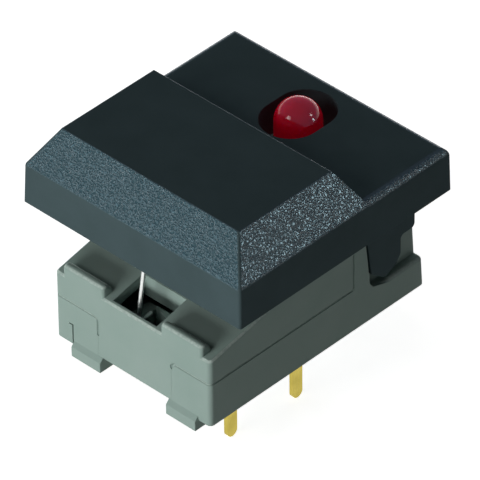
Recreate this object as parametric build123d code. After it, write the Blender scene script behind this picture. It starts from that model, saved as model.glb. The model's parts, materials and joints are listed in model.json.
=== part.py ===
from build123d import *
import os
from math import radians, tan

# Illuminated push button switch for a printed circuit board.
# Millimetres. +Z up, +X to the right, the front of the switch faces -Y.
# The origin lies on the seating plane of the feet, under the middle of the cap.

# ---------------------------------------------------------------- driving sizes
# keycap
cap_width = 17.4
cap_depth = 17.8
cap_skirt_z = 9.3            # lower edge of the skirt
cap_side_height = 2.7        # upright part of the skirt
cap_draft = 1.8              # degrees, the skirt narrows upwards
cap_corner_radius = 0.17
cap_shoulder_rounding = 0.35
cap_flat_z = 12.33           # rear flat that carries the lamp hole
cap_flat_rounding = 0.55
cap_top_z = 14.56            # finger pad
cap_bevel_run = 1.56         # how far each bevel of the pad leans in
cap_pad_rear_y = 0.4         # rear edge of the pad
cap_edge_rounding = 0.1
cap_wall = 1.0
collar_wall = 0.5            # collar round the lamp hole, under the flat
collar_bottom_z = 10.0

# lamp
lamp_y = 5.15
lamp_radius = 1.46
lamp_height = 5.15
lamp_flange_radius = 1.75
lamp_flange_height = 0.9
lamp_side_gap = 0.44         # lamp to the sides of the hole in the cap
lamp_tilt_gap = 1.09         # lamp to the ends of the hole, for the cap's tilt
lead_side = 0.5
lead_pitch = 2.54

# housing: cover above, base below
body_half_width = 6.26
body_rear_overhang = 0.43    # housing past the cap's rear, at the foot of the rear face
body_wall = 0.75
base_bottom_z = 0.7
base_floor = 0.65
rear_lean = 4.0              # degrees, the rear face leans forward
parting_z = 3.78             # joint line between cover and base
cover_front_top_z = 5.48     # top of the cover at its front face
cover_slope = 11.9           # degrees, the top climbs to the rear
cover_rear_y = 3.2
tongue_left_x = 2.8          # the cover's front reaches down between the base's corners
tongue_right_x = 3.15
front_edge_z = 0.98          # lower edge of the front, between the corner strips
upright_rounding = 0.3       # upright corners of the housing, and the turn of the joint line
seam_groove_radius = 0.08    # broken edges along the joint line
left_seam_end_z = 2.5        # the broken edges fade out here on the left
right_seam_end_z = 3.35      # and here on the right
slit_x = 4.84                # slit that parts the left corner strip from the front
slit_width = 0.09
slit_depth = 0.25
slit_top_z = 2.17
slit_turn = 0.35             # short level end of the slit

cover_edge_bevel = 0.12
lip_inner_x = 2.3
lip_outer_x = 5.6
lip_top_z = 6.26
lip_depth = 0.75
lip_rounding = 0.27
lip_rear_bevel = 0.32
lip_end_rounding = 0.2

window_half_width = 1.75
window_front_wall = 0.28
window_rear_gap = 1.3        # latch wire to the rear of the window
window_skirt = 0.5           # wall that hangs down behind the window
window_skirt_margin = 0.3
window_skirt_bottom_z = 4.6

# rear block of the base, with the recesses for the cap's legs
recess_depth = 0.58
block_top_z = 8.2
block_wall = 1.05
deck = 0.8                   # top of the block, under the lamp
recess_front_y = 4.23        # front of the recess where the cap's skirt hides it
recess_front_bottom_y = 4.6
recess_rounding_y = 5.45     # where the recess's front corner has run out
recess_hidden_z = 6.4
recess_opening = 0.4         # the recess widens forward above that
recess_bottom_z = 2.84
recess_corner_height = 0.55
recess_corner_y = 4.88       # middle of the recess's lower front corner
recess_corner_rise = 0.18
ledge_rounding = 0.28        # outer edge of the recess's floor
foot_shoulder_z = 0.7        # foot is upright below this and bevelled above
foot_width = 2.35
left_foot_x = -3.62          # middle of the left feet
right_foot_x = 4.08
foot_depth = 1.2
foot_proud = 0.26

# legs, trunnions and pusher under the cap
pivot_y = 6.4
pivot_z = 6.7
trunnion_radius = 0.9
trunnion_gap = 0.04
trunnion_length = 0.85
trunnion_bore_margin = 0.1
leg_thickness = 0.5
leg_gap = 0.06               # leg to the side of the block
leg_front_gap = 0.17         # leg to the front of the recess
leg_toe_z = 3.95             # front of the leg's slanted bottom
leg_heel_y = 5.9             # lowest corner of the leg
leg_bottom_z = 3.13
leg_calf_y = 6.85
leg_calf_z = 3.56
leg_narrow_y = 7.25          # rear of the leg's lower part
leg_narrow_z = 4.15
leg_wide_y = 8.45            # rear of the leg's upper part
leg_wide_bottom_z = 5.48
leg_rounding = 0.3
leg_rib = 0.8                # ribs that tie each leg to the skirt
leg_rib_lift = 0.4           # ribs to the lower edge of the skirt
pusher_half_width = 2.0
pusher_thickness = 0.8

# lug for the latch wire, inside the cap's front
lug_half_width = 0.8
lug_gap = 0.6                # lug to the inside of the cap's front
lug_depth = 1.1
lug_drop = 0.1               # lug reaches below the skirt

# slider and its spring
slider_setback = 5.9         # middle of the slider behind the housing's front
slider_half_width = 3.2
slider_half_depth = 2.0
slider_bottom_z = 3.7
slider_shoulder_z = 5.3
slider_head_half_width = 2.25
slider_head_half_depth = 0.9
slider_head_gap = 0.33       # running gap round the head in the cover's opening
slider_top_gap = 0.05        # slider's head to the cap's pusher
slider_head_z = 8.3
spring_wire = 0.32
spring_wire_sides = 6
spring_mean_radius = 1.35
spring_turns = 4.5
spring_bore_clearance = 0.2
spring_peg_gap = 0.24        # peg to the inside of the spring
spring_peg_height = 0.8

# contacts
blade_thickness = 0.3
blade_width = 1.7
pin_width = 0.8
pin_tip_z = -2.5
front_pin_inset = 0.61       # pin to the inside of the housing's side
front_pin_setback = 3.05     # pin behind the housing's front
front_blade_top_z = 3.95
rear_pin_inset = 0.26
rear_pin_setback = 8.22
rear_blade_top_z = 5.15
bridge_thickness = 0.2
bridge_bottom_z = 4.1
bridge_height = 0.95
bridge_pad = 0.45            # half length of the pads that wipe the blades
bridge_ramp = 1.1            # length of the slanted stretches

# latch wire and its cam track
latch_wire_radius = 0.14
latch_wire_sides = 12
latch_bore_gap = 0.03
latch_front_gap = 0.18       # wire to the inside of the cap's front
latch_pivot_z = 9.75
latch_lean_x = 3.6           # degrees towards -X at rest
latch_lean_y = 5.0           # degrees towards the front
latch_bottom_z = 4.4
latch_foot = 1.1
latch_bend = 0.22
cam_half_width = 1.65
cam_setback = 1.8            # cam block behind the housing's front
cam_depth = 1.25
cam_top_z = 3.9
cam_track_depth = 1.0
track_left_x = -0.85
track_right_x = 1.3
track_mouth_x = 0.6          # right side of the track's mouth
track_side_z = 2.8           # the left side is upright above this
track_floor_z = 1.4
track_floor_x = -0.25
heart_x = 0.82
heart_half_width = 0.33
heart_top_z = 3.3
heart_bottom_z = 2.4
heart_notch = 0.25
guide_height = 0.9
guide_depth = 0.55
guide_point_x = -0.3

# ---------------------------------------------------------------- worked-out sizes
draft_slope = tan(radians(cap_draft))
climb = tan(radians(cover_slope))
lean = tan(radians(rear_lean))
shoulder_z = cap_skirt_z + cap_side_height
cap_half_width = cap_width / 2
cap_half_depth = cap_depth / 2
cap_inner_front_y = cap_wall - cap_half_depth
body_front_y = -cap_half_depth
body_inner_front_y = body_front_y + body_wall
body_rear_y = cap_half_depth + body_rear_overhang
body_inner_x = body_half_width - body_wall
base_floor_z = base_bottom_z + base_floor
block_half_width = body_half_width - recess_depth
hole_half_width = lamp_radius + lamp_side_gap
hole_half_length = lamp_radius + lamp_tilt_gap
leg_inner_x = block_half_width + leg_gap
leg_outer_x = leg_inner_x + leg_thickness
slider_y = body_front_y + slider_setback
spring_seat_z = slider_shoulder_z
front_pin_x = body_inner_x - front_pin_inset
front_pin_y = body_front_y + front_pin_setback
rear_pin_x = body_inner_x - rear_pin_inset
rear_pin_y = body_front_y + rear_pin_setback
latch_top_y = cap_inner_front_y + latch_front_gap + latch_wire_radius
lug_front_y = cap_inner_front_y + lug_gap
window_front_y = body_front_y + window_front_wall
window_rear_y = latch_top_y + latch_wire_radius + window_rear_gap
cam_front_y = body_front_y + cam_setback
tiny = 0.05                  # overlap by which joined solids reach into each other


def block(x0, x1, y0, y1, z0, z1):
    """Box between two corners."""
    low = (min(x0, x1), min(y0, y1), min(z0, z1))
    size = (abs(x1 - x0), abs(y1 - y0), abs(z1 - z0))
    return Pos(*low) * Box(*size, align=(Align.MIN, Align.MIN, Align.MIN))


def side_profile(points, x0, x1):
    """Closed outline in the YZ plane, drawn out along X from x0 to x1."""
    face = make_face(Polyline([(0, y, z) for y, z in points], close=True))
    return extrude(Pos(x0, 0, 0) * face, amount=x1 - x0, dir=(1, 0, 0))


def mirrored(piece):
    """Mirror image about the middle plane."""
    return mirror(piece, about=Plane.YZ)


def both_sides(piece):
    """The piece and its mirror image."""
    return piece + mirrored(piece)


def cover_top(y):
    """Height of the cover's sloping top at a given depth."""
    return cover_front_top_z + climb * (y - body_front_y)


# ---------------------------------------------------------------- keycap
def drafted_prism(outline, z1):
    """The outline drawn up from the skirt's lower edge to z1, narrowing by the draft."""
    return extrude(Pos(0, 0, cap_skirt_z) * outline, amount=z1 - cap_skirt_z, taper=cap_draft)


def bevelled_pad(inset, z0, z1):
    """Finger pad: a frustum whose four sides lean in by the same slope."""
    bevel = cap_bevel_run / (cap_top_z - shoulder_z)
    at_shoulder = draft_slope * cap_side_height + inset

    def ring(z):
        shift = bevel * (z - shoulder_z)
        x = cap_half_width - at_shoulder - shift
        front = -cap_half_depth + at_shoulder + shift
        rear = cap_pad_rear_y + bevel * (cap_top_z - z) - inset
        return Polyline([(-x, front, z), (x, front, z), (x, rear, z), (-x, rear, z)], close=True)

    return loft([make_face(ring(z0)), make_face(ring(z1))])


def slot_prism(margin, z0, z1):
    """Upright prism with the lamp hole's outline, grown by a margin."""
    straight = 2 * (hole_half_length - hole_half_width)
    outline = SlotCenterToCenter(straight, 2 * (hole_half_width + margin), rotation=90)
    return extrude(Pos(0, lamp_y, z0) * outline, amount=z1 - z0)


def keycap():
    """Square cap: raised finger pad in front, lower flat with the lamp hole behind."""
    flat = drafted_prism(RectangleRounded(cap_width, cap_depth, cap_corner_radius), cap_flat_z)
    flat = fillet(flat.faces().sort_by(Axis.Z)[-1].edges(), cap_flat_rounding)
    flat -= block(-cap_width, cap_width, -cap_depth, cap_pad_rear_y + cap_bevel_run / 2, 0, cap_top_z)
    pad = bevelled_pad(0, cap_skirt_z, cap_top_z) & drafted_prism(Rectangle(cap_width, cap_depth), cap_top_z)
    shoulders = pad.edges().filter_by(
        lambda edge: abs(edge.center().Z - shoulder_z) < tiny and edge.length > cap_bevel_run)
    pad = fillet(shoulders, cap_shoulder_rounding)
    corners = pad.edges().filter_by(
        lambda edge: edge.bounding_box().size.Z > cap_bevel_run and edge.center().Y < cap_pad_rear_y - cap_bevel_run)
    pad = fillet(corners, cap_corner_radius)
    pad = fillet(pad.faces().sort_by(Axis.Z)[-1].edges(), cap_edge_rounding)
    cap = flat + pad

    inner_x = cap_half_width - cap_wall
    inner_y = cap_half_depth - cap_wall
    roof_z = cap_flat_z - cap_wall
    cap -= block(-inner_x, inner_x, -inner_y, inner_y, cap_skirt_z, roof_z)
    cap -= bevelled_pad(cap_wall, roof_z, cap_top_z - cap_wall)
    cap += both_sides(cap_leg() + leg_ribs()) + pusher() + wire_lug()
    cap += slot_prism(collar_wall, collar_bottom_z, roof_z + tiny)
    return cap - slot_prism(0, collar_bottom_z - tiny, cap_top_z)


def cap_leg():
    """Side leg: wide at the cap, narrow below, with a rounded heel and an inward trunnion."""
    roof_z = cap_flat_z - cap_wall + tiny
    front_y = recess_front_y + leg_front_gap
    toe_y = recess_front_bottom_y + leg_front_gap
    outline = [
        (front_y, roof_z),
        (front_y, recess_hidden_z),
        (toe_y, leg_toe_z),
        (leg_heel_y, leg_bottom_z),
        (leg_calf_y, leg_calf_z),
        (leg_narrow_y, leg_narrow_z),
        (leg_narrow_y, leg_wide_bottom_z),
        (leg_wide_y, leg_wide_bottom_z),
        (leg_wide_y, roof_z),
    ]
    leg = side_profile(outline, leg_inner_x, leg_outer_x)
    corners = leg.edges().filter_by(Axis.X).filter_by(lambda edge: edge.center().Z < recess_hidden_z - tiny)
    leg = fillet(corners, leg_rounding)
    length = trunnion_length + leg_thickness / 2
    trunnion = Rot(0, 90, 0) * Cylinder(trunnion_radius, length)
    return leg + Pos(leg_inner_x - trunnion_length + length / 2, pivot_y, pivot_z) * trunnion


def leg_ribs():
    """Cross ribs between the right leg and the skirt."""
    ribs = None
    for y in (recess_front_y + 2 * leg_front_gap, leg_wide_y - 2 * leg_rib):
        rib = block(leg_outer_x - tiny, cap_half_width - cap_wall + tiny, y, y + leg_rib,
                    cap_skirt_z + leg_rib_lift, cap_flat_z - cap_wall + tiny)
        ribs = rib if ribs is None else ribs + rib
    return ribs


def pusher():
    """Rib across the cap whose rounded nose presses the slider."""
    nose = pusher_thickness / 2
    nose_z = slider_head_z + slider_top_gap + nose
    rib = block(-pusher_half_width, pusher_half_width, slider_y - nose, slider_y + nose,
                nose_z, cap_top_z - cap_wall + tiny)
    roller = Rot(0, 90, 0) * Cylinder(nose, 2 * pusher_half_width)
    return rib + Pos(0, slider_y, nose_z) * roller


def wire_lug():
    """Lug inside the cap's front with the bore for the latch wire's hook."""
    lug = block(-lug_half_width, lug_half_width, lug_front_y, lug_front_y + lug_depth,
                cap_skirt_z - lug_drop, cap_top_z - cap_wall + tiny)
    bore = Rot(90, 0, 0) * Cylinder(latch_wire_radius + latch_bore_gap, 2 * (lug_depth + tiny))
    return lug - Pos(0, lug_front_y + lug_depth, latch_pivot_z) * bore


# ---------------------------------------------------------------- joint line of the housing
def joint_turn(x):
    """Sliver by which the cover rounds the turn of the joint line at x, on the right half."""
    r = upright_rounding
    sliver = block(x, x + r, body_front_y, body_inner_front_y, parting_z - r, parting_z)
    middle_y = (body_front_y + body_inner_front_y) / 2
    return sliver - Pos(x + r, middle_y, parting_z - r) * Rot(90, 0, 0) * Cylinder(r, 2 * body_wall)


def joint_groove(x, end_z):
    """Groove of the broken edges along the joint line, which turns down at x and fades out at end_z."""
    turns = [
        (x, body_front_y, end_z),
        (x, body_front_y, parting_z),
        (body_half_width, body_front_y, parting_z),
        (body_half_width, cover_rear_y, parting_z),
    ]
    path = FilletPolyline(*turns, radius=upright_rounding)
    groove = sweep(Plane(origin=path @ 0, z_dir=path % 0) * Circle(seam_groove_radius), path=path)
    riser = Cylinder(seam_groove_radius, cap_skirt_z, align=(Align.CENTER, Align.CENTER, Align.MIN))
    return groove + Pos(body_half_width, cover_rear_y, parting_z) * riser


# ---------------------------------------------------------------- cover
def front_lip():
    """Rounded ridge along the front edge of the cover, on the right half."""
    rear_y = body_front_y + lip_depth
    root_z = cover_front_top_z - body_wall / 2
    outline = [
        (body_front_y, root_z),
        (body_front_y, lip_top_z),
        (rear_y - lip_rear_bevel, lip_top_z),
        (rear_y, lip_top_z - lip_rear_bevel),
        (rear_y, root_z),
    ]
    lip = side_profile(outline, lip_inner_x, lip_outer_x)
    crown = lip.edges().filter_by(Axis.X).group_by(Axis.Z)[-1]
    lip = fillet(crown, lip_rounding)
    ends = lip.edges().filter_by(
        lambda edge: edge.bounding_box().size.X < tiny and edge.center().Z > lip_top_z - lip_rear_bevel)
    return fillet(ends, lip_end_rounding)


def cover():
    """Upper housing: sloping top, side walls, front tongue, lips, window and slider opening."""
    outline = [
        (body_front_y, parting_z),
        (body_front_y, cover_front_top_z),
        (cover_rear_y, cover_top(cover_rear_y)),
        (cover_rear_y, parting_z),
    ]
    shell = side_profile(outline, -body_half_width, body_half_width)
    upright = shell.edges().filter_by(Axis.Z).filter_by(lambda edge: edge.center().Y < 0)
    shell = fillet(upright, upright_rounding)
    slopes = shell.edges().filter_by(
        lambda edge: edge.bounding_box().size.Y > body_wall and edge.center().Z > parting_z + body_wall)
    shell = chamfer(slopes, cover_edge_bevel)
    past_rear_y = cover_rear_y + body_wall
    inner = [
        (body_inner_front_y, 0),
        (body_inner_front_y, cover_top(body_inner_front_y) - body_wall),
        (past_rear_y, cover_top(past_rear_y) - body_wall),
        (past_rear_y, 0),
    ]
    shell -= side_profile(inner, -body_inner_x, body_inner_x)
    tongue = block(-tongue_left_x, tongue_right_x, body_front_y, body_inner_front_y,
                   front_edge_z, parting_z + body_wall)
    shell += tongue + joint_turn(tongue_right_x) + mirrored(joint_turn(tongue_left_x)) + both_sides(front_lip())
    skirt_half_width = window_half_width + window_skirt_margin
    shell += block(-skirt_half_width, skirt_half_width, window_rear_y, window_rear_y + window_skirt,
                   window_skirt_bottom_z, cover_top(window_rear_y) - tiny)
    shell -= block(-window_half_width, window_half_width, window_front_y, window_rear_y, 0, cap_skirt_z)
    head_x = slider_head_half_width + slider_head_gap
    head_y = slider_head_half_depth + slider_head_gap
    shell -= block(-head_x, head_x, slider_y - head_y, slider_y + head_y, parting_z, cap_skirt_z)
    shell -= joint_groove(tongue_right_x, right_seam_end_z)
    return shell - mirrored(joint_groove(tongue_left_x, left_seam_end_z))


# ---------------------------------------------------------------- base
def upright_slab(points, y0, y1):
    """Closed outline in the XZ plane, drawn out along Y from y0 to y1."""
    face = make_face(Polyline([(x, y0, z) for x, z in points], close=True))
    return extrude(face, amount=y1 - y0, dir=(0, 1, 0))


def cam_block():
    """Cam block with the heart-shaped track for the latch wire's foot and a guide on top."""
    cam_rear_y = cam_front_y + cam_depth
    cam = block(-cam_half_width, cam_half_width, cam_front_y, cam_rear_y, base_floor_z - tiny, cam_top_z)
    pocket = [(track_left_x, cam_top_z), (track_left_x, track_side_z), (track_floor_x, track_floor_z),
              (track_right_x - tiny, track_floor_z), (track_right_x, heart_top_z), (track_mouth_x, cam_top_z)]
    left_x = heart_x - heart_half_width
    right_x = heart_x + heart_half_width
    heart = [(left_x, heart_top_z), (left_x + tiny, heart_bottom_z), (heart_x, heart_bottom_z + heart_notch),
             (right_x - tiny, heart_bottom_z), (right_x, heart_top_z), (heart_x, heart_top_z + heart_notch)]
    track_rear_y = cam_front_y + cam_track_depth
    cam -= upright_slab(pocket, cam_front_y, track_rear_y) - upright_slab(heart, cam_front_y, track_rear_y)
    corners = [(guide_point_x, cam_front_y + guide_depth), (cam_half_width, cam_front_y + guide_depth),
               (cam_half_width, cam_front_y), (heart_x + heart_notch, cam_front_y)]
    guide = make_face(Polyline([(x, y, cam_top_z - tiny) for x, y in corners], close=True))
    return cam + extrude(guide, amount=guide_height)


def blade_slots():
    """Slots in the floor that the four terminals are pressed through."""
    slots = None
    for x, y in ((front_pin_x, front_pin_y), (rear_pin_x, rear_pin_y)):
        half_t = blade_thickness / 2
        slot = block(x - half_t, x + half_t, y - pin_width / 2, y + pin_width / 2,
                     base_bottom_z - tiny, base_floor_z + tiny)
        slots = slot if slots is None else slots + slot
    return both_sides(slots)


def leg_recess():
    """Side recess of the right leg, open to the rear."""
    past_rear_y = body_rear_y + body_wall
    past_top_z = block_top_z + body_wall
    outline = [
        (recess_front_y - recess_opening, past_top_z),
        (recess_front_y, recess_hidden_z),
        (recess_front_bottom_y, recess_bottom_z + recess_corner_height),
        (recess_corner_y, recess_bottom_z + recess_corner_rise),
        (recess_rounding_y, recess_bottom_z),
        (past_rear_y, recess_bottom_z),
        (past_rear_y, past_top_z),
    ]
    return side_profile(outline, block_half_width, body_half_width + body_wall)


def corner_slit():
    """Shallow slit beside the corner strip, with a short level end, on the right half."""
    front_y = body_front_y - slit_depth
    rear_y = body_front_y + slit_depth
    upright = block(slit_x, slit_x + slit_width, front_y, rear_y, 0, slit_top_z)
    level = block(slit_x, slit_x + slit_turn, front_y, rear_y, slit_top_z - slit_width, slit_top_z)
    return upright + level


def foot(outer_y, inner_y, face_y, x):
    """Standing foot in the middle of x, proud of the face above it, with a bevelled outer top edge."""
    outline = [
        (inner_y, 0),
        (outer_y, 0),
        (outer_y, foot_shoulder_z),
        (face_y, front_edge_z),
        (inner_y, front_edge_z),
    ]
    return side_profile(outline, x - foot_width / 2, x + foot_width / 2)


def base_shell():
    """Outside of the base: low tray in front, rear block with the leg recesses."""
    top_rear_y = body_rear_y - lean * (block_top_z - base_bottom_z)
    outline = [
        (body_front_y, base_bottom_z),
        (body_rear_y, base_bottom_z),
        (top_rear_y, block_top_z),
        (cover_rear_y, block_top_z),
        (cover_rear_y, parting_z),
        (body_front_y, parting_z),
    ]
    shell = side_profile(outline, -body_half_width, body_half_width)
    shell -= both_sides(leg_recess())
    ledges = shell.edges().filter_by(Axis.Y).filter_by(
        lambda edge: abs(edge.center().Z - recess_bottom_z) < tiny and abs(edge.center().X) > block_half_width + tiny)
    shell = fillet(ledges, ledge_rounding)
    front = shell.edges().filter_by(Axis.Z).filter_by(lambda edge: edge.center().Y < body_front_y + tiny)
    shell = fillet(front, upright_rounding)
    rear = shell.edges().filter_by(
        lambda edge: edge.bounding_box().size.Z > upright_rounding and edge.center().Y > top_rear_y - tiny
        and abs(edge.center().X) > block_half_width - tiny)
    return fillet(rear, upright_rounding)


def base():
    """Lower housing: tray, front corners, feet, cam block and rear block."""
    shell = base_shell()
    shell -= block(-body_inner_x, body_inner_x, body_inner_front_y, cover_rear_y - tiny,
                   base_floor_z, parting_z + body_wall)
    # the front between the corners is left to the cover's tongue
    shell -= block(-tongue_left_x, tongue_right_x, body_front_y - body_wall, body_inner_front_y,
                   0, parting_z + body_wall)
    for cutter in (joint_turn(tongue_right_x), joint_groove(tongue_right_x, right_seam_end_z)):
        shell -= cutter
    for cutter in (joint_turn(tongue_left_x), joint_groove(tongue_left_x, left_seam_end_z), corner_slit()):
        shell -= mirrored(cutter)
    # rear block is hollow under its deck and open to the tray
    hollow_rear_y = body_rear_y - lean * block_top_z - block_wall
    shell -= block(-block_half_width + block_wall, block_half_width - block_wall, slider_y, hollow_rear_y,
                   base_floor_z, block_top_z - deck)
    # bores for the cap's trunnions
    bore_depth = trunnion_length + trunnion_bore_margin
    bore = Rot(0, 90, 0) * Cylinder(trunnion_radius + trunnion_gap, 2 * bore_depth)
    shell -= both_sides(Pos(block_half_width, pivot_y, pivot_z) * bore)
    # lead holes under the lamp
    for sign in (-1, 1):
        half = lead_side / 2
        x = sign * lead_pitch / 2
        shell -= block(x - half, x + half, lamp_y - half, lamp_y + half, 0, block_top_z + tiny)
    for x in (left_foot_x, right_foot_x):
        shell += foot(body_front_y - foot_proud, body_front_y + foot_depth, body_front_y, x)
        shell += foot(body_rear_y + foot_proud, body_rear_y - foot_depth, body_rear_y, x)
    shell += cam_block()
    peg_radius = spring_mean_radius - spring_wire / 2 - spring_peg_gap
    spring_peg = Cylinder(peg_radius, spring_peg_height + tiny, align=(Align.CENTER, Align.CENTER, Align.MIN))
    shell += Pos(0, slider_y, base_floor_z - tiny) * spring_peg
    return shell - blade_slots()


# ---------------------------------------------------------------- lamp
def led_lens():
    """Moulded lamp body: domed cylinder on a flange."""
    barrel = Cylinder(lamp_radius, lamp_height - lamp_radius, align=(Align.CENTER, Align.CENTER, Align.MIN))
    dome = Pos(0, 0, lamp_height - lamp_radius) * Sphere(lamp_radius)
    flange = Cylinder(lamp_flange_radius, lamp_flange_height, align=(Align.CENTER, Align.CENTER, Align.MIN))
    return Pos(0, lamp_y, block_top_z) * (barrel + dome + flange)


def led_lead(sign):
    """One square lead, from the lamp's seat down to the solder tip."""
    half = lead_side / 2
    x = sign * lead_pitch / 2
    return block(x - half, x + half, lamp_y - half, lamp_y + half, pin_tip_z, block_top_z)


# ---------------------------------------------------------------- contacts
def terminal(x, y, blade_top_z):
    """Stamped terminal: contact blade inside, narrow pin with a rounded tip below the floor."""
    half_t = blade_thickness / 2
    tip_z = pin_tip_z + pin_width / 2
    blade = block(x - half_t, x + half_t, y - blade_width / 2, y + blade_width / 2, base_floor_z, blade_top_z)
    pin = block(x - half_t, x + half_t, y - pin_width / 2, y + pin_width / 2, tip_z, base_floor_z)
    tip = Pos(x, y, tip_z) * Rot(0, 90, 0) * Cylinder(pin_width / 2, blade_thickness)
    return blade + pin + tip


def bridge():
    """Bowed contact spring on the slider's right side; its two pads wipe the blades."""
    front_x = front_pin_x - blade_thickness / 2
    rear_x = rear_pin_x - blade_thickness / 2
    back_x = slider_half_width + bridge_thickness
    outer = [
        (front_x, front_pin_y - bridge_pad),
        (front_x, front_pin_y + bridge_pad),
        (back_x, front_pin_y + bridge_pad + bridge_ramp),
        (back_x, rear_pin_y - bridge_pad - bridge_ramp),
        (rear_x, rear_pin_y - bridge_pad),
        (rear_x, rear_pin_y + bridge_pad),
    ]
    inner = [(x - bridge_thickness, y) for x, y in outer]
    ring = Polyline([(x, y, bridge_bottom_z) for x, y in outer + inner[::-1]], close=True)
    return extrude(make_face(ring), amount=bridge_height)


# ---------------------------------------------------------------- slider and spring
def contact_slider():
    """Slider: head that the cap pushes, shoulder under the cover, bore for the spring."""
    body = block(-slider_half_width, slider_half_width, slider_y - slider_half_depth,
                 slider_y + slider_half_depth, slider_bottom_z, slider_shoulder_z)
    body += block(-slider_head_half_width, slider_head_half_width, slider_y - slider_head_half_depth,
                  slider_y + slider_head_half_depth, slider_shoulder_z, slider_head_z)
    bore_radius = spring_mean_radius + spring_wire / 2 + spring_bore_clearance
    bore = Cylinder(bore_radius, spring_seat_z, align=(Align.CENTER, Align.CENTER, Align.MAX))
    return body - Pos(0, slider_y, spring_seat_z) * bore


def return_spring():
    """Compression spring from the floor to the slider's bore."""
    height = spring_seat_z - base_floor_z - spring_wire
    path = Helix(pitch=height / spring_turns, height=height, radius=spring_mean_radius)
    section = Plane(origin=path @ 0, z_dir=path % 0) * RegularPolygon(spring_wire / 2, spring_wire_sides)
    coil = sweep(section, path=path, is_frenet=True)
    return Pos(0, slider_y, base_floor_z + spring_wire / 2) * coil


# ---------------------------------------------------------------- latch wire
def latch_wire():
    """Wire hooked in the cap's lug, hanging to the cam track."""
    top = Vector(0, latch_top_y, latch_pivot_z)
    drop = latch_pivot_z - latch_bottom_z
    bottom = Vector(-drop * tan(radians(latch_lean_x)), latch_top_y - drop * tan(radians(latch_lean_y)),
                    latch_bottom_z)
    hook = Vector(0, lug_front_y + lug_depth + latch_wire_radius, latch_pivot_z)
    toe = bottom + Vector(0, latch_foot, 0)
    path = FilletPolyline(hook, top, bottom, toe, radius=latch_bend)
    section = Plane(origin=path @ 0, z_dir=path % 0) * RegularPolygon(latch_wire_radius, latch_wire_sides)
    return sweep(section, path=path)


pieces = {
    "keycap": keycap(),
    "cover": cover(),
    "base": base(),
    "led_lens": led_lens(),
    "led_anode_lead": led_lead(1),
    "led_cathode_lead": led_lead(-1),
    "contact_slider": contact_slider(),
    "return_spring": return_spring(),
    "latch_wire": latch_wire(),
}
for row, x, y, top_z in (("front", front_pin_x, front_pin_y, front_blade_top_z),
                         ("rear", rear_pin_x, rear_pin_y, rear_blade_top_z)):
    pieces["terminal_right_" + row] = terminal(x, y, top_z)
    pieces["terminal_left_" + row] = terminal(-x, y, top_z)
right_bridge = bridge()
pieces["bridge_right"] = right_bridge
pieces["bridge_left"] = mirrored(right_bridge)

os.makedirs("parts", exist_ok=True)
for name, solid in pieces.items():
    export_step(solid, os.path.join("parts", name + ".step"))
    print(name, "%.2f mm3" % solid.volume)
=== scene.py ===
"""Looks of the illuminated push button switch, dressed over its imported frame. Metres throughout."""

import json
import math

import bpy
from mathutils import Matrix, Vector


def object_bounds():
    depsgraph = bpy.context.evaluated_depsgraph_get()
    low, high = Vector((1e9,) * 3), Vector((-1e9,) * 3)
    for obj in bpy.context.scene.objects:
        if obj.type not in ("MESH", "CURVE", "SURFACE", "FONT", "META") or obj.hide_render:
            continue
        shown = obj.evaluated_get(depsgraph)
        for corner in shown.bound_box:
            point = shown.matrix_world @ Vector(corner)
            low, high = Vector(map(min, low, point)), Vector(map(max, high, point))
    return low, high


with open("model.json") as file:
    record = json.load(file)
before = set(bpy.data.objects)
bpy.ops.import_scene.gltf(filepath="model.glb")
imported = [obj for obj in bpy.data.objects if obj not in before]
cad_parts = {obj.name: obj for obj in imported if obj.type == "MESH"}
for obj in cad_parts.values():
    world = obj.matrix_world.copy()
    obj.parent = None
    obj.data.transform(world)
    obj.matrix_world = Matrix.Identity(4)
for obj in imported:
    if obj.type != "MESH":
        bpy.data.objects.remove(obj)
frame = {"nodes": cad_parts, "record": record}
cad_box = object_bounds()

MM = 0.001
WHITE = (1, 1, 1)

# colour sockets of the Mix node, whose names repeat
MIX_AMOUNT = 0
MIX_FIRST = 6
MIX_SECOND = 7
MIX_RESULT = 2

# ---------------------------------------------------------------- node helpers


def set_inputs(node, values):
    """Sets a node's inputs by name, with _ for a space."""
    for name, value in values.items():
        node.inputs[name.replace("_", " ")].default_value = value


def new_material(name, **inputs):
    """Principled material with the given inputs; returns it, its node tree and its shader."""
    material = bpy.data.materials.new(name)
    material.use_nodes = True
    tree = material.node_tree
    shader = tree.nodes["Principled BSDF"]
    set_inputs(shader, inputs)
    return material, tree, shader


def add(tree, kind, **values):
    """One node; keywords set its properties, or its inputs where they are given as in_<name>."""
    node = tree.nodes.new(kind)
    for key, value in values.items():
        if key.startswith("in_"):
            set_inputs(node, {key[3:]: value})
        else:
            setattr(node, key, value)
    return node


def join(tree, source, output, target, entry):
    """Link between two nodes' sockets."""
    tree.links.new(source.outputs[output], target.inputs[entry])


def ramp(tree, source, output, stops):
    """Colour ramp with the given (position, grey or colour) stops over a node's output."""
    node = add(tree, "ShaderNodeValToRGB")
    band = node.color_ramp
    while len(band.elements) < len(stops):
        band.elements.new(0.5)
    for element, (position, value) in zip(band.elements, stops):
        element.position = position
        colour = value if isinstance(value, tuple) else (value, value, value)
        element.color = (*colour, 1)
    join(tree, source, output, node, "Fac")
    return node


def maths(tree, operation, first, first_output, second, second_output):
    """Product, maximum or the like of two nodes' values."""
    node = add(tree, "ShaderNodeMath", operation=operation)
    join(tree, first, first_output, node, 0)
    join(tree, second, second_output, node, 1)
    return node


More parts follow.
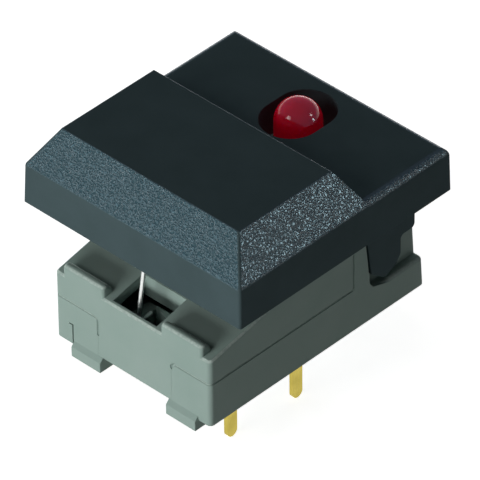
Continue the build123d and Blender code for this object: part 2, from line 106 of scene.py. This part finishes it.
def blend(tree, amount, amount_output, first, second):
    """Colour between first and second; each is a colour, or a node and the output that gives it."""
    node = add(tree, "ShaderNodeMix", data_type="RGBA")
    join(tree, amount, amount_output, node, MIX_AMOUNT)
    for entry, value in ((MIX_FIRST, first), (MIX_SECOND, second)):
        if isinstance(value[0], bpy.types.Node):
            join(tree, *value, node, entry)
        else:
            node.inputs[entry].default_value = (*value, 1)
    return node


def axes_of(tree, kind):
    """X, Y and Z of one kind of texture coordinate."""
    place = add(tree, "ShaderNodeTexCoord")
    axes = add(tree, "ShaderNodeSeparateXYZ")
    join(tree, place, kind, axes, "Vector")
    return axes


def object_noise(tree, size, detail=2.0):
    """Noise fixed to the piece, with features of about the given size."""
    place = add(tree, "ShaderNodeTexCoord")
    noise = add(tree, "ShaderNodeTexNoise", in_Scale=1 / size, in_Detail=detail)
    join(tree, place, "Object", noise, "Vector")
    return noise


def relief(tree, shader, height, output, depth, strength=1.0, edge_radius=0.0):
    """Bump on the shader from a node's output, over edges that look rounded to edge_radius."""
    bump = add(tree, "ShaderNodeBump", in_Distance=depth, in_Strength=strength)
    join(tree, height, output, bump, "Height")
    if edge_radius:
        edge = add(tree, "ShaderNodeBevel", samples=4, in_Radius=edge_radius)
        join(tree, edge, "Normal", bump, "Normal")
    join(tree, bump, "Normal", shader, "Normal")
    return bump


# ---------------------------------------------------------------- materials


def cap_plastic():
    """Charcoal moulded plastic: dull flats, and a glossy spark-eroded grain on the bevels, whose light
    bluish peaks are partly a painted glint.
    """
    tone_size = 2.5 * MM
    grain_size = 0.11 * MM
    grain_depth = 0.07 * MM
    edge_radius = 0.06 * MM
    dull_tones = [(0.3, (0.054, 0.082, 0.087)), (0.7, (0.062, 0.093, 0.099))]
    # grain colours: dark teal pits and light bluish peaks, partly real grain speckle and partly a painted
    # glint
    grain_tones_with_painted_glint = [(0.0, (0.038, 0.088, 0.106)), (1.0, (0.084, 0.160, 0.190))]
    material, tree, shader = new_material(
        "cap_plastic", Roughness=0.6, Specular_IOR_Level=0.03, Coat_Roughness=0.18, Coat_IOR=1.6)

    # the grain lies where the surface leans between upright and level
    facing = axes_of(tree, "Normal")
    lean = ramp(tree, facing, "Z",
                [(0.0, 0.03), (0.2, 0.05), (0.35, 1.0), (0.75, 1.0), (0.93, 0.05), (1.0, 0.02)])

    # and stops short of the mitres, where the surface leans both sideways and endways
    both_ways = maths(tree, "MULTIPLY", facing, "X", facing, "Y")
    turn = add(tree, "ShaderNodeMath", operation="ABSOLUTE")
    join(tree, both_ways, "Value", turn, 0)
    bevel = ramp(tree, turn, "Value", [(0.06, 1.0), (0.14, 0.05)])
    grained = maths(tree, "MULTIPLY", lean, "Color", bevel, "Color")

    # slow drift of the dull tone, and in the grain dark pits between light peaks; the peaks' lightness and
    # blue are partly a painted glint and sheen
    dull = ramp(tree, object_noise(tree, tone_size), "Fac", dull_tones)
    peaks = ramp(tree, object_noise(tree, grain_size, detail=1.5), "Fac", [(0.38, 0.0), (0.62, 1.0)])
    grain_speckle_and_painted_glint = ramp(tree, peaks, "Color", grain_tones_with_painted_glint)
    colours = blend(tree, grained, "Value", (dull, "Color"), (grain_speckle_and_painted_glint, "Color"))
    join(tree, colours, MIX_RESULT, shader, "Base Color")
    bump = relief(tree, shader, peaks, "Color", grain_depth, edge_radius=edge_radius)
    join(tree, grained, "Value", bump, "Strength")

    # the grain's gloss lies over the dull plastic
    gloss = ramp(tree, facing, "Z", [(0.2, 0.0), (0.35, 0.65), (0.96, 0.9), (1.0, 0.0)])
    polish = ramp(tree, peaks, "Color", [(0.0, 0.5), (1.0, 1.0)])
    shine = maths(tree, "MULTIPLY", gloss, "Color", polish, "Color")
    coat = maths(tree, "MULTIPLY", shine, "Value", bevel, "Color")
    join(tree, coat, "Value", shader, "Coat Weight")
    join(tree, bump, "Normal", shader, "Coat Normal")
    return material


def housing_plastic():
    """Grey-green moulded plastic with a soft satin skin, broken edges, and a painted highlight on its
    upward-leaning edges.
    """
    tone_size = 3.0 * MM
    skin_size = 0.18 * MM
    skin_depth = 0.01 * MM
    edge_radius = 0.07 * MM
    tones = [(0.3, (0.285, 0.385, 0.345)), (0.7, (0.315, 0.410, 0.372))]
    # pale tone of the painted highlight on upward-leaning edges
    painted_highlight_tone = (0.50, 0.60, 0.55)
    material, tree, shader = new_material("housing_plastic", Roughness=0.45, Specular_IOR_Level=0.06)
    colours = ramp(tree, object_noise(tree, tone_size, detail=3.0), "Fac", tones)
    skin = object_noise(tree, skin_size)
    relief(tree, shader, skin, "Fac", skin_depth, strength=0.25, edge_radius=edge_radius)

    # upward-leaning edges above the feet get a painted highlight: their colour is lightened in patches
    upward_lean = ramp(tree, axes_of(tree, "Normal"), "Z", [(0.3, 0.0), (0.55, 1.0), (0.85, 1.0), (0.95, 0.0)])
    above_feet = add(tree, "ShaderNodeMapRange", in_From_Min=1.5 * MM, in_From_Max=3 * MM)
    join(tree, axes_of(tree, "Object"), "Z", above_feet, "Value")
    highlight_area = maths(tree, "MULTIPLY", upward_lean, "Color", above_feet, "Result")
    patches = ramp(tree, skin, "Fac", [(0.35, 0.35), (0.6, 0.9)])
    painted_highlight = maths(tree, "MULTIPLY", highlight_area, "Value", patches, "Color")
    highlighted_colours = blend(tree, painted_highlight, "Value", (colours, "Color"), painted_highlight_tone)
    join(tree, highlighted_colours, MIX_RESULT, shader, "Base Color")
    return material


def lamp_epoxy():
    """Red tinted epoxy of the lamp, which scatters light inside; a weak red emission paints a faint glow
    into its shade, though the lamp is not lit.
    """
    tone_size = 1.2 * MM
    # the weak red emission is a painted glow that lifts the shaded lower part of the unlit lamp
    material, tree, shader = new_material(
        "lamp_red", Roughness=0.06, IOR=1.52,
        Subsurface_Weight=1.0, Subsurface_Radius=(1.0, 0.05, 0.05), Subsurface_Scale=1.8 * MM,
        Emission_Color=(1.0, 0.0, 0.03, 1), Emission_Strength=0.065)
    colours = ramp(tree, object_noise(tree, tone_size), "Fac",
                   [(0.3, (0.48, 0.002, 0.016)), (0.7, (0.54, 0.003, 0.022))])
    join(tree, colours, "Color", shader, "Base Color")
    return material


def gold_plate():
    """Thin gold plating on stamped blades, with rolling marks along the pins."""
    tone_size = 0.8 * MM
    mark_depth = 0.01 * MM
    marks_per_metre = (9000, 9000, 500)
    material, tree, shader = new_material("gold_plate", Metallic=1.0)
    colours = ramp(tree, object_noise(tree, tone_size), "Fac",
                   [(0.3, (0.46, 0.365, 0.060)), (0.7, (0.56, 0.45, 0.086))])
    join(tree, colours, "Color", shader, "Base Color")
    place = add(tree, "ShaderNodeTexCoord")
    stretch = add(tree, "ShaderNodeMapping", in_Scale=marks_per_metre)
    marks = add(tree, "ShaderNodeTexNoise", in_Scale=1.0, in_Detail=2.0)
    join(tree, place, "Object", stretch, "Vector")
    join(tree, stretch, "Vector", marks, "Vector")
    shine = ramp(tree, marks, "Fac", [(0.3, 0.26), (0.7, 0.38)])
    join(tree, shine, "Color", shader, "Roughness")
    relief(tree, shader, marks, "Fac", mark_depth, strength=0.3)
    return material


def wire_metal(name, mark_size, tones, roughness):
    """Metal whose tone and gloss vary with its drawing marks."""
    material, tree, shader = new_material(name, Metallic=1.0)
    marks = object_noise(tree, mark_size, detail=3.0)
    join(tree, ramp(tree, marks, "Fac", tones), "Color", shader, "Base Color")
    join(tree, ramp(tree, marks, "Fac", roughness), "Color", shader, "Roughness")
    return material


def drawn_steel():
    """Bright drawn wire of the latch and the return spring."""
    tones = [(0.3, (0.66, 0.68, 0.66)), (0.7, (0.78, 0.80, 0.78))]
    return wire_metal("spring_steel", 0.12 * MM, tones, [(0.3, 0.28), (0.7, 0.40)])


def tinned_wire():
    """Dull tin on the lamp's leads."""
    tones = [(0.3, (0.58, 0.58, 0.56)), (0.7, (0.70, 0.70, 0.68))]
    return wire_metal("tinned_wire", 0.3 * MM, tones, [(0.3, 0.34), (0.7, 0.48)])


def slider_plastic():
    """Black moulded plastic inside."""
    tone_size = 0.5 * MM
    skin_depth = 0.01 * MM
    material, tree, shader = new_material("slider_plastic", Roughness=0.55)
    tone = object_noise(tree, tone_size, detail=3.0)
    colours = ramp(tree, tone, "Fac", [(0.3, (0.030, 0.032, 0.032)), (0.7, (0.042, 0.044, 0.044))])
    join(tree, colours, "Color", shader, "Base Color")
    relief(tree, shader, tone, "Fac", skin_depth, strength=0.3)
    return material


def dress_nodes():
    """Gives each CAD node the material of its slot in the record."""
    makers = {
        "cap_plastic": cap_plastic,
        "housing_plastic": housing_plastic,
        "lamp_red": lamp_epoxy,
        "gold_plate": gold_plate,
        "spring_steel": drawn_steel,
        "tinned_wire": tinned_wire,
        "slider_plastic": slider_plastic,
    }
    looks = {slot: make() for slot, make in makers.items()}
    for part in frame["record"]["subparts"]:
        for slot in frame["nodes"][part["node"]].material_slots:
            slot.material = looks[part["material_slot"]]


# ---------------------------------------------------------------- floor and backdrop


def reflected(tree, path):
    """One where a ray comes from a reflection or through something clear."""
    return maths(tree, "MAXIMUM", path, "Is Glossy Ray", path, "Is Transmission Ray")


def seen_directly(tree):
    """One where a ray comes from the camera, a reflection or through something clear."""
    path = add(tree, "ShaderNodeLightPath")
    return maths(tree, "MAXIMUM", path, "Is Camera Ray", reflected(tree, path), "Value")


def pale_floor():
    """White floor that shows as white and keeps the object's soft shadow."""
    floor_size = 4.0
    shadow_reach = 16 * MM
    plain_reach = 50 * MM
    low_z = cad_box[0][2]
    bpy.ops.mesh.primitive_plane_add(size=floor_size, location=(0, 0, low_z))
    floor = bpy.context.active_object
    floor.name = "floor"
    material = bpy.data.materials.new("floor_white")
    material.use_nodes = True
    tree = material.node_tree
    tree.nodes.remove(tree.nodes["Principled BSDF"])
    plain = add(tree, "ShaderNodeBsdfDiffuse", in_Color=(0.8, 0.8, 0.8, 1))
    shown = add(tree, "ShaderNodeBsdfDiffuse", in_Color=(0.9, 0.9, 0.9, 1))
    glow = add(tree, "ShaderNodeEmission")

    # the shadow lies near the object, and the floor is plain white away from it
    place = add(tree, "ShaderNodeTexCoord")
    away = add(tree, "ShaderNodeVectorMath", operation="LENGTH")
    level = add(tree, "ShaderNodeMapRange", in_From_Min=shadow_reach, in_From_Max=plain_reach,
                in_To_Min=0.82, in_To_Max=1.0)
    join(tree, place, "Object", away, "Vector")
    join(tree, away, "Value", level, "Value")
    join(tree, level, "Result", glow, "Strength")
    both = add(tree, "ShaderNodeAddShader")
    join(tree, shown, "BSDF", both, 0)
    join(tree, glow, "Emission", both, 1)
    choice = add(tree, "ShaderNodeMixShader")
    join(tree, seen_directly(tree), "Value", choice, 0)
    join(tree, plain, "BSDF", choice, 1)
    join(tree, both, "Shader", choice, 2)
    join(tree, choice, "Shader", tree.nodes["Material Output"], "Surface")
    floor.data.materials.append(material)


def white_world():
    """White backdrop, a dim cool room in reflections, and hardly any even light on the object."""
    even_light = 0.03
    room = (0.20, 0.27, 0.42)
    behind_object = (-0.695, 0.719, 0)
    world = bpy.data.worlds.new("studio")
    bpy.context.scene.world = world
    world.use_nodes = True
    tree = world.node_tree
    background = tree.nodes["Background"]

    # in reflections the backdrop is low and stands behind the object only
    low = ramp(tree, axes_of(tree, "Generated"), "Z", [(0.06, 1.0), (0.2, 0.0)])
    place = add(tree, "ShaderNodeTexCoord")
    behind = add(tree, "ShaderNodeVectorMath", operation="DOT_PRODUCT")
    behind.inputs[1].default_value = behind_object
    join(tree, place, "Generated", behind, 0)
    side = ramp(tree, behind, "Value", [(0.0, 0.0), (0.4, 1.0)])
    backdrop = maths(tree, "MULTIPLY", low, "Color", side, "Color")
    mirrored = blend(tree, backdrop, "Value", room, WHITE)
    path = add(tree, "ShaderNodeLightPath")
    colour = blend(tree, reflected(tree, path), "Value", WHITE, (mirrored, MIX_RESULT))
    join(tree, colour, MIX_RESULT, background, "Color")
    level = add(tree, "ShaderNodeMapRange", in_To_Min=even_light)
    join(tree, seen_directly(tree), "Value", level, "Value")
    join(tree, level, "Result", background, "Strength")


# ---------------------------------------------------------------- lights and camera


def area_light(name, towards, distance, size, level, colour=WHITE, glare=True, fill=True):
    """Soft light that looks at the object's middle from the given side.

    level is how bright it makes a white face turned to it. Without glare it stays out of
    reflections, and without fill it shows in reflections only.
    """
    middle = (Vector(cad_box[0]) + Vector(cad_box[1])) / 2
    data = bpy.data.lights.new(name, "AREA")
    data.shape = "RECTANGLE"
    data.size, data.size_y = size
    data.energy = level * (math.pi * distance) ** 2
    data.color = colour
    light = bpy.data.objects.new(name, data)
    away = Vector(towards).normalized()
    light.location = middle + away * distance
    light.rotation_euler = away.to_track_quat("Z", "Y").to_euler()
    light.visible_glossy = glare
    light.visible_diffuse = fill
    bpy.context.collection.objects.link(light)


def studio_lights():
    """Low softbox in front, weak lamps above, reflected cards behind on the right, far-side fills."""
    cool = (0.62, 0.90, 1.0)
    area_light("key", towards=(0.0, -1.0, 0.07), distance=0.18, size=(0.10, 0.03), level=0.57)
    area_light("front_lamp", towards=(-0.2, -0.81, 0.55), distance=0.30, size=(0.10, 0.10), level=0.135)
    area_light("overhead", towards=(0.0, -0.05, 1.0), distance=0.30, size=(0.15, 0.15), level=0.085,
               glare=False)
    area_light("low_card", towards=(0.80, 0.563, 0.218), distance=0.20, size=(0.05, 0.04), level=0.19,
               colour=cool, fill=False)
    area_light("high_card", towards=(0.69, 0.49, 0.54), distance=0.25, size=(0.045, 0.045), level=0.06,
               fill=False)
    area_light("left_fill", towards=(-1.0, -0.05, 0.10), distance=0.20, size=(0.15, 0.03), level=0.30,
               glare=False)
    area_light("rear_fill", towards=(-0.55, 1.0, 0.10), distance=0.20, size=(0.15, 0.03), level=0.40,
               glare=False)


def camera():
    """Long lens at the viewing angle, with the slight roll of the view."""
    azimuth = math.radians(44.0)
    elevation = math.radians(38.46)
    roll = math.radians(-0.57)
    distance = 0.4
    target = Vector((-0.149, 0.317, 5.683)) * MM
    back = Vector((math.sin(azimuth) * math.cos(elevation), -math.cos(azimuth) * math.cos(elevation),
                   math.sin(elevation)))
    right = Vector((math.cos(azimuth), math.sin(azimuth), 0))
    up = back.cross(right)
    rolled_right = right * math.cos(roll) + up * math.sin(roll)
    rolled_up = up * math.cos(roll) - right * math.sin(roll)
    data = bpy.data.cameras.new("camera")
    data.lens = 513.3
    data.sensor_width = 36
    data.clip_start = 0.01
    data.clip_end = 20
    view = bpy.data.objects.new("camera", data)
    turn = Matrix((rolled_right, rolled_up, back)).transposed().to_4x4()
    view.matrix_world = Matrix.Translation(target + back * distance) @ turn
    bpy.context.collection.objects.link(view)
    bpy.context.scene.camera = view


dress_nodes()
pale_floor()
white_world()
studio_lights()
camera()
bpy.context.scene.view_settings.view_transform = "Standard"
